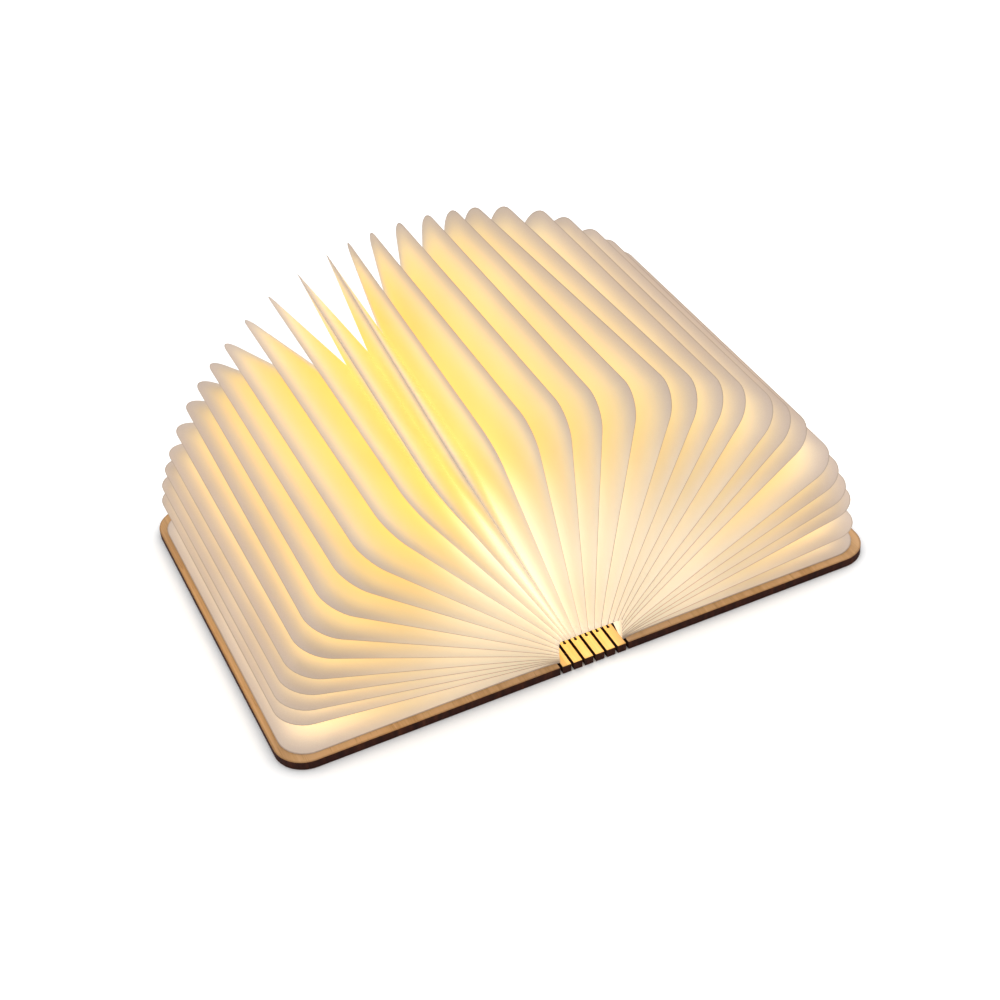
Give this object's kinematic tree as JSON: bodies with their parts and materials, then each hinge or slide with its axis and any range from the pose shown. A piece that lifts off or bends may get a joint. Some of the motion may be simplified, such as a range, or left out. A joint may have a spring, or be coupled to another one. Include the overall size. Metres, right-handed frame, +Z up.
{
  "type": "folding book lamp",
  "caption": "Folding book lamp: two wooden covers on a laser-cut living hinge, with a fan of folded paper leaves lit by a light bar on the spine.",
  "frame": {"origin": "middle of the spine, on the underside of the open covers", "axes": "+X across to the right cover, +Y along the spine to the charging socket, +Z up from the table"},
  "size_m": [0.1846, 0.122, 0.0852],
  "materials": {
    "wood": "fine straight grain, thin clear coat, laser-burnt edges",
    "paper": "folded coated paper, lit through",
    "bar_plastic": "moulded, fine texture",
    "frosted_lens": "frosted, translucent",
    "lamp_board": "white solder mask",
    "led_chip": "phosphor",
    "cell_foil": "laminated foil",
    "circuit_board": "green solder mask",
    "socket_steel": "nickel-plated",
    "switch_glass": "glossy",
    "screw_steel": "plated",
    "magnet": "nickel-plated"
  },
  "bodies": {
    "spine": {"spine_centre": "wood", "spine_links_left_1": "wood", "spine_links_right_1": "wood", "light_bar_base": "bar_plastic", "light_bar_diffuser": "frosted_lens", "light_bar_end_cap_near": "bar_plastic", "light_bar_end_cap_far": "bar_plastic", "led_board": "lamp_board", "led_chips": "led_chip", "battery_cell": "cell_foil", "control_board": "circuit_board", "charging_socket": "socket_steel", "magnetic_switch": "switch_glass", "housing_screws": "screw_steel", "leaf_16": "paper"},
    "cover_left": {"cover_left": "wood", "cover_magnets_left": "magnet", "switch_magnet": "magnet", "leaf_00": "paper"},
    "leaf_01": {"leaf_01": "paper"},
    "leaf_02": {"leaf_02": "paper"},
    "leaf_03": {"leaf_03": "paper"},
    "leaf_04": {"leaf_04": "paper"},
    "leaf_05": {"leaf_05": "paper"},
    "strip_left_2": {"spine_strip_left_2": "wood", "spine_links_left_3": "wood", "leaf_06": "paper"},
    "leaf_07": {"leaf_07": "paper"},
    "leaf_08": {"leaf_08": "paper"},
    "leaf_09": {"leaf_09": "paper"},
    "leaf_10": {"leaf_10": "paper"},
    "strip_left_1": {"spine_strip_left_1": "wood", "spine_links_left_2": "wood", "leaf_11": "paper"},
    "leaf_12": {"leaf_12": "paper"},
    "leaf_13": {"leaf_13": "paper"},
    "leaf_14": {"leaf_14": "paper"},
    "leaf_15": {"leaf_15": "paper"},
    "leaf_17": {"leaf_17": "paper"},
    "leaf_18": {"leaf_18": "paper"},
    "leaf_19": {"leaf_19": "paper"},
    "leaf_20": {"leaf_20": "paper"},
    "strip_right_1": {"spine_strip_right_1": "wood", "spine_links_right_2": "wood", "leaf_21": "paper"},
    "leaf_22": {"leaf_22": "paper"},
    "leaf_23": {"leaf_23": "paper"},
    "leaf_24": {"leaf_24": "paper"},
    "leaf_25": {"leaf_25": "paper"},
    "strip_right_2": {"spine_strip_right_2": "wood", "spine_links_right_3": "wood", "leaf_26": "paper"},
    "leaf_27": {"leaf_27": "paper"},
    "leaf_28": {"leaf_28": "paper"},
    "leaf_29": {"leaf_29": "paper"},
    "leaf_30": {"leaf_30": "paper"},
    "cover_right": {"cover_right": "wood", "cover_magnets_right": "magnet", "leaf_31": "paper"}
  },
  "joints": [
    {"name": "leaf_15_turn", "type": "hinge", "parent": "spine", "child": "leaf_15", "pos_m": [-0.00345, 0, 0.0013], "axis": [0, 1, 0], "range_deg": [-5.75, 5.75], "deforming": ["leaf_15", "leaf_16"]},
    {"name": "leaf_14_turn", "type": "hinge", "parent": "leaf_15", "child": "leaf_14", "pos_m": [-0.00345, 0, 0.0013], "axis": [0, 1, 0], "range_deg": [-5.87, 5.87], "deforming": ["leaf_14"]},
    {"name": "leaf_13_turn", "type": "hinge", "parent": "leaf_14", "child": "leaf_13", "pos_m": [-0.00345, 0, 0.0013], "axis": [0, 1, 0], "range_deg": [-5.87, 5.87], "deforming": ["leaf_13"]},
    {"name": "leaf_12_turn", "type": "hinge", "parent": "leaf_13", "child": "leaf_12", "pos_m": [-0.00345, 0, 0.0013], "axis": [0, 1, 0], "range_deg": [-6.53, 6.53], "deforming": ["leaf_12"]},
    {"name": "leaf_11_turn", "type": "hinge", "parent": "leaf_12", "child": "strip_left_1", "pos_m": [-0.00345, 0, 0.0013], "axis": [0, 1, 0], "range_deg": [-6.53, 6.53], "deforming": ["leaf_11", "spine_links_left_1"]},
    {"name": "leaf_10_turn", "type": "hinge", "parent": "strip_left_1", "child": "leaf_10", "pos_m": [-0.0069, 0, 0.0013], "axis": [0, 1, 0], "range_deg": [-6.53, 6.53], "deforming": ["leaf_10"]},
    {"name": "leaf_09_turn", "type": "hinge", "parent": "leaf_10", "child": "leaf_09", "pos_m": [-0.0069, 0, 0.0013], "axis": [0, 1, 0], "range_deg": [-6.53, 6.53], "deforming": ["leaf_09"]},
    {"name": "leaf_08_turn", "type": "hinge", "parent": "leaf_09", "child": "leaf_08", "pos_m": [-0.0069, 0, 0.0013], "axis": [0, 1, 0], "range_deg": [-5.3, 5.3], "deforming": ["leaf_08"]},
    {"name": "leaf_07_turn", "type": "hinge", "parent": "leaf_08", "child": "leaf_07", "pos_m": [-0.0069, 0, 0.0013], "axis": [0, 1, 0], "range_deg": [-5.3, 5.3], "deforming": ["leaf_07"]},
    {"name": "leaf_06_turn", "type": "hinge", "parent": "leaf_07", "child": "strip_left_2", "pos_m": [-0.0069, 0, 0.0013], "axis": [0, 1, 0], "range_deg": [-5.3, 5.3], "deforming": ["leaf_06", "spine_links_left_2"]},
    {"name": "leaf_05_turn", "type": "hinge", "parent": "strip_left_2", "child": "leaf_05", "pos_m": [-0.01035, 0, 0.0013], "axis": [0, 1, 0], "range_deg": [-5.3, 5.3], "deforming": ["leaf_05"]},
    {"name": "leaf_04_turn", "type": "hinge", "parent": "leaf_05", "child": "leaf_04", "pos_m": [-0.01035, 0, 0.0013], "axis": [0, 1, 0], "range_deg": [-5.3, 5.3], "deforming": ["leaf_04"]},
    {"name": "leaf_03_turn", "type": "hinge", "parent": "leaf_04", "child": "leaf_03", "pos_m": [-0.01035, 0, 0.0013], "axis": [0, 1, 0], "range_deg": [-3.88, 3.88], "deforming": ["leaf_03"]},
    {"name": "leaf_02_turn", "type": "hinge", "parent": "leaf_03", "child": "leaf_02", "pos_m": [-0.01035, 0, 0.0013], "axis": [0, 1, 0], "range_deg": [-3.88, 3.88], "deforming": ["leaf_02"]},
    {"name": "leaf_01_turn", "type": "hinge", "parent": "leaf_02", "child": "leaf_01", "pos_m": [-0.01035, 0, 0.0013], "axis": [0, 1, 0], "range_deg": [-3.88, 3.88], "deforming": ["leaf_01"]},
    {"name": "left_cover_turn", "type": "hinge", "parent": "leaf_01", "child": "cover_left", "pos_m": [-0.01035, 0, 0.0013], "axis": [0, 1, 0], "range_deg": [-8.16, 8.16], "deforming": ["leaf_00", "spine_links_left_3"]},
    {"name": "leaf_17_turn", "type": "hinge", "parent": "spine", "child": "leaf_17", "pos_m": [0.00345, 0, 0.0013], "axis": [0, -1, 0], "range_deg": [-5.75, 5.75], "deforming": ["leaf_17", "leaf_16"]},
    {"name": "leaf_18_turn", "type": "hinge", "parent": "leaf_17", "child": "leaf_18", "pos_m": [0.00345, 0, 0.0013], "axis": [0, -1, 0], "range_deg": [-5.87, 5.87], "deforming": ["leaf_18"]},
    {"name": "leaf_19_turn", "type": "hinge", "parent": "leaf_18", "child": "leaf_19", "pos_m": [0.00345, 0, 0.0013], "axis": [0, -1, 0], "range_deg": [-5.87, 5.87], "deforming": ["leaf_19"]},
    {"name": "leaf_20_turn", "type": "hinge", "parent": "leaf_19", "child": "leaf_20", "pos_m": [0.00345, 0, 0.0013], "axis": [0, -1, 0], "range_deg": [-5.87, 5.87], "deforming": ["leaf_20"]},
    {"name": "leaf_21_turn", "type": "hinge", "parent": "leaf_20", "child": "strip_right_1", "pos_m": [0.00345, 0, 0.0013], "axis": [0, -1, 0], "range_deg": [-7.45, 7.45], "deforming": ["leaf_21", "spine_links_right_1"]},
    {"name": "leaf_22_turn", "type": "hinge", "parent": "strip_right_1", "child": "leaf_22", "pos_m": [0.0069, 0, 0.0013], "axis": [0, -1, 0], "range_deg": [-6.22, 6.22], "deforming": ["leaf_22"]},
    {"name": "leaf_23_turn", "type": "hinge", "parent": "leaf_22", "child": "leaf_23", "pos_m": [0.0069, 0, 0.0013], "axis": [0, -1, 0], "range_deg": [-8.06, 8.06], "deforming": ["leaf_23"]},
    {"name": "leaf_24_turn", "type": "hinge", "parent": "leaf_23", "child": "leaf_24", "pos_m": [0.0069, 0, 0.0013], "axis": [0, -1, 0], "range_deg": [-5.71, 5.71], "deforming": ["leaf_24"]},
    {"name": "leaf_25_turn", "type": "hinge", "parent": "leaf_24", "child": "leaf_25", "pos_m": [0.0069, 0, 0.0013], "axis": [0, -1, 0], "range_deg": [-5.71, 5.71], "deforming": ["leaf_25"]},
    {"name": "leaf_26_turn", "type": "hinge", "parent": "leaf_25", "child": "strip_right_2", "pos_m": [0.0069, 0, 0.0013], "axis": [0, -1, 0], "range_deg": [-10.51, 10.51], "deforming": ["leaf_26", "spine_links_right_2"]},
    {"name": "leaf_27_turn", "type": "hinge", "parent": "strip_right_2", "child": "leaf_27", "pos_m": [0.01035, 0, 0.0013], "axis": [0, -1, 0], "range_deg": [-5.3, 5.3], "deforming": ["leaf_27"]},
    {"name": "leaf_28_turn", "type": "hinge", "parent": "leaf_27", "child": "leaf_28", "pos_m": [0.01035, 0, 0.0013], "axis": [0, -1, 0], "range_deg": [-5.3, 5.3], "deforming": ["leaf_28"]},
    {"name": "leaf_29_turn", "type": "hinge", "parent": "leaf_28", "child": "leaf_29", "pos_m": [0.01035, 0, 0.0013], "axis": [0, -1, 0], "range_deg": [-4.18, 4.18], "deforming": ["leaf_29"]},
    {"name": "leaf_30_turn", "type": "hinge", "parent": "leaf_29", "child": "leaf_30", "pos_m": [0.01035, 0, 0.0013], "axis": [0, -1, 0], "range_deg": [-6.63, 6.63], "deforming": ["leaf_30"]},
    {"name": "right_cover_turn", "type": "hinge", "parent": "leaf_30", "child": "cover_right", "pos_m": [0.01035, 0, 0.0013], "axis": [0, -1, 0], "range_deg": [-5.05, 5.05], "deforming": ["leaf_31", "spine_links_right_3"]}
  ],
  "couplings": [
    {"joint": "leaf_14_turn", "follows": "leaf_15_turn", "ratio": 1},
    {"joint": "leaf_13_turn", "follows": "leaf_15_turn", "ratio": 1},
    {"joint": "leaf_12_turn", "follows": "leaf_15_turn", "ratio": 1.113},
    {"joint": "leaf_11_turn", "follows": "leaf_15_turn", "ratio": 1.113},
    {"joint": "leaf_10_turn", "follows": "leaf_15_turn", "ratio": 1.113},
    {"joint": "leaf_09_turn", "follows": "leaf_15_turn", "ratio": 1.113},
    {"joint": "leaf_08_turn", "follows": "leaf_15_turn", "ratio": 0.90435},
    {"joint": "leaf_07_turn", "follows": "leaf_15_turn", "ratio": 0.90435},
    {"joint": "leaf_06_turn", "follows": "leaf_15_turn", "ratio": 0.90435},
    {"joint": "leaf_05_turn", "follows": "leaf_15_turn", "ratio": 0.90435},
    {"joint": "leaf_04_turn", "follows": "leaf_15_turn", "ratio": 0.90435},
    {"joint": "leaf_03_turn", "follows": "leaf_15_turn", "ratio": 0.66087},
    {"joint": "leaf_02_turn", "follows": "leaf_15_turn", "ratio": 0.66087},
    {"joint": "leaf_01_turn", "follows": "leaf_15_turn", "ratio": 0.66087},
    {"joint": "left_cover_turn", "follows": "leaf_15_turn", "ratio": 1.3913},
    {"joint": "leaf_18_turn", "follows": "leaf_17_turn", "ratio": 1},
    {"joint": "leaf_19_turn", "follows": "leaf_17_turn", "ratio": 1},
    {"joint": "leaf_20_turn", "follows": "leaf_17_turn", "ratio": 1},
    {"joint": "leaf_21_turn", "follows": "leaf_17_turn", "ratio": 1.2696},
    {"joint": "leaf_22_turn", "follows": "leaf_17_turn", "ratio": 1.0609},
    {"joint": "leaf_23_turn", "follows": "leaf_17_turn", "ratio": 1.3739},
    {"joint": "leaf_24_turn", "follows": "leaf_17_turn", "ratio": 0.97391},
    {"joint": "leaf_25_turn", "follows": "leaf_17_turn", "ratio": 0.97391},
    {"joint": "leaf_26_turn", "follows": "leaf_17_turn", "ratio": 1.7913},
    {"joint": "leaf_27_turn", "follows": "leaf_17_turn", "ratio": 0.90435},
    {"joint": "leaf_28_turn", "follows": "leaf_17_turn", "ratio": 0.90435},
    {"joint": "leaf_29_turn", "follows": "leaf_17_turn", "ratio": 0.71304},
    {"joint": "leaf_30_turn", "follows": "leaf_17_turn", "ratio": 1.1304},
    {"joint": "right_cover_turn", "follows": "leaf_17_turn", "ratio": 0.86087}
  ]
}
